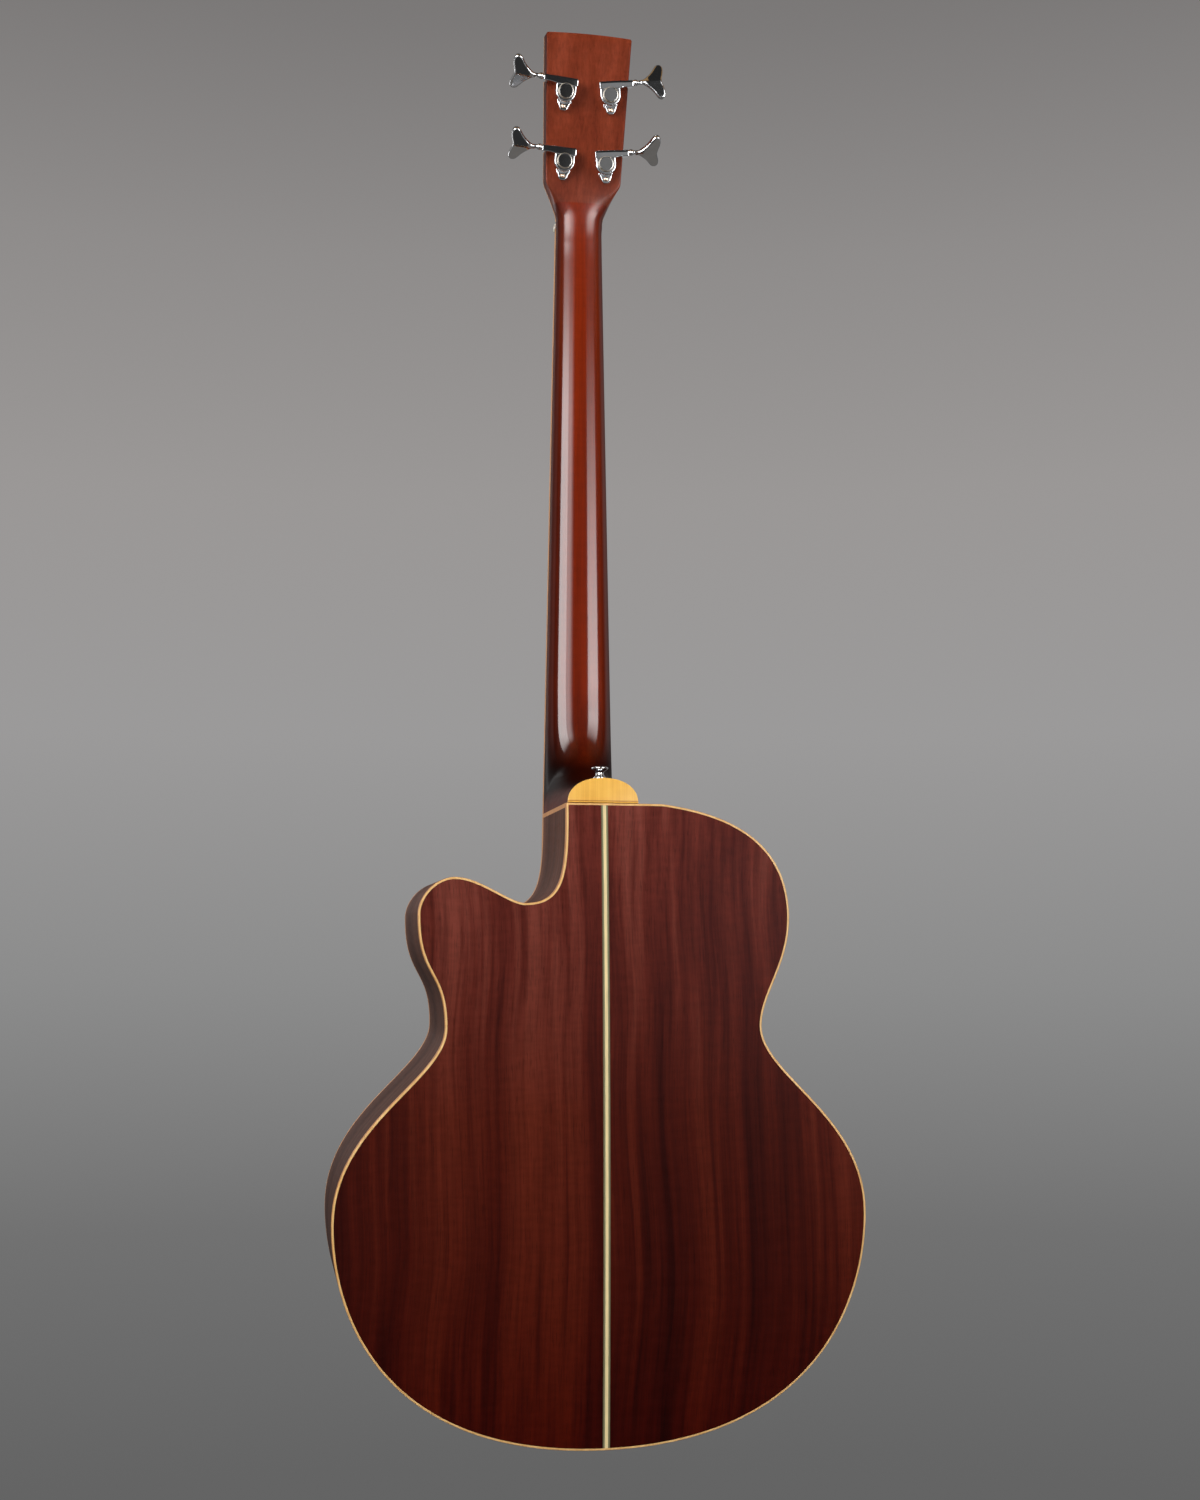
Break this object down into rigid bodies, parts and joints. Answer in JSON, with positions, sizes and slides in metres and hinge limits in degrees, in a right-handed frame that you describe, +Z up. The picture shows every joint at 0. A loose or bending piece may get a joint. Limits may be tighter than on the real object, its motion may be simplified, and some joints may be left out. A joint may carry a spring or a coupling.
{
  "type": "acoustic bass guitar",
  "caption": "Hollow-bodied acoustic bass guitar with a single cutaway, domed back, bound edges, long fretted neck and geared tuners on a tilted headstock.",
  "frame": {"origin": "on the centre line, at the fretboard's end of the nut, on the seat of the fretboard, where a wall hanger holds the neck under the headstock", "axes": "+Z up the neck to the headstock, the soundboard faces -Y, the treble side with the cutaway is +X"},
  "size_m": [0.4324, 0.1514, 1.2228],
  "materials": {
    "mahogany_back": "satin dark red-brown with ribbon stripes",
    "mahogany_side": "satin brown",
    "mahogany_neck": "gloss dark red-brown",
    "maple": "satin cream maple",
    "spruce": "satin pale spruce",
    "inside_wood": "bare sanded wood",
    "rosewood": "oiled dark rosewood",
    "black_veneer": "satin black stained veneer",
    "bone": "polished off-white",
    "chrome": "polished",
    "bronze": "wound bronze wire",
    "steel": "plain steel"
  },
  "bodies": {
    "instrument": {"soundboard": "spruce", "rosette": "rosewood", "back_panel_bass": "mahogany_back", "back_panel_treble": "mahogany_back", "back_center_strip": "maple", "back_seam_strip": "inside_wood", "side_bass": "mahogany_side", "side_treble": "mahogany_side", "cutaway_corner_strip": "maple", "top_binding": "maple", "back_binding": "maple", "top_lining_bass": "inside_wood", "top_lining_treble": "inside_wood", "back_lining_bass": "inside_wood", "back_lining_treble": "inside_wood", "neck_block": "inside_wood", "end_block": "inside_wood", "x_brace_bass": "spruce", "x_brace_treble": "spruce", "transverse_brace": "spruce", "tone_brace_1": "spruce", "tone_brace_2": "spruce", "bridge_plate": "maple", "back_brace_upper": "spruce", "back_brace_waist": "spruce", "back_brace_lower": "spruce", "back_brace_tail": "spruce", "bridge": "rosewood", "saddle": "bone", "tail_strap_button": "chrome", "heel_strap_button": "chrome", "heel_cap": "maple", "neck": "mahogany_neck", "headstock_veneer": "black_veneer", "headstock_binding": "maple", "fretboard": "rosewood", "fretboard_binding": "maple", "nut": "bone", "truss_rod": "steel", "tuner_E_housing": "chrome", "tuner_E_bushing": "chrome", "string_E": "bronze", "tuner_A_housing": "chrome", "tuner_A_bushing": "chrome", "string_A": "bronze", "tuner_D_housing": "chrome", "tuner_D_bushing": "chrome", "string_D": "bronze", "tuner_G_housing": "chrome", "tuner_G_bushing": "chrome", "string_G": "bronze"},
    "key_E": {"tuner_E_key": "chrome"},
    "post_E": {"tuner_E_post": "chrome"},
    "key_A": {"tuner_A_key": "chrome"},
    "post_A": {"tuner_A_post": "chrome"},
    "key_D": {"tuner_D_key": "chrome"},
    "post_D": {"tuner_D_post": "chrome"},
    "key_G": {"tuner_G_key": "chrome"},
    "post_G": {"tuner_G_post": "chrome"}
  },
  "joints": [
    {"name": "key_E_turn", "type": "hinge", "parent": "instrument", "child": "key_E", "pos_m": [-0.01791, 0.03716, 0.05858], "axis": [-0.9936, 0.0274, 0.1098], "continuous": true},
    {"name": "post_E_turn", "type": "hinge", "parent": "instrument", "child": "post_E", "pos_m": [-0.019, 0.01244, 0.05491], "axis": [0, -0.9703, 0.2419], "continuous": true},
    {"name": "key_A_turn", "type": "hinge", "parent": "instrument", "child": "key_A", "pos_m": [-0.01915, 0.05182, 0.11736], "axis": [-0.9914, 0.0316, 0.1266], "continuous": true},
    {"name": "post_A_turn", "type": "hinge", "parent": "instrument", "child": "post_A", "pos_m": [-0.0204, 0.02711, 0.11371], "axis": [0, -0.9703, 0.2419], "continuous": true},
    {"name": "key_D_turn", "type": "hinge", "parent": "instrument", "child": "key_D", "pos_m": [0.01965, 0.05183, 0.11741], "axis": [0.9969, 0.019, 0.0761], "continuous": true},
    {"name": "post_D_turn", "type": "hinge", "parent": "instrument", "child": "post_D", "pos_m": [0.0204, 0.02711, 0.11371], "axis": [0, -0.9703, 0.2419], "continuous": true},
    {"name": "key_G_turn", "type": "hinge", "parent": "instrument", "child": "key_G", "pos_m": [0.01858, 0.03718, 0.05863], "axis": [0.999, 0.0106, 0.0423], "continuous": true},
    {"name": "post_G_turn", "type": "hinge", "parent": "instrument", "child": "post_G", "pos_m": [0.019, 0.01244, 0.05491], "axis": [0, -0.9703, 0.2419], "continuous": true}
  ],
  "couplings": [
    {"joint": "post_E_turn", "follows": "key_E_turn", "ratio": -0.0625},
    {"joint": "post_A_turn", "follows": "key_A_turn", "ratio": -0.0625},
    {"joint": "post_D_turn", "follows": "key_D_turn", "ratio": 0.0625},
    {"joint": "post_G_turn", "follows": "key_G_turn", "ratio": 0.0625}
  ]
}
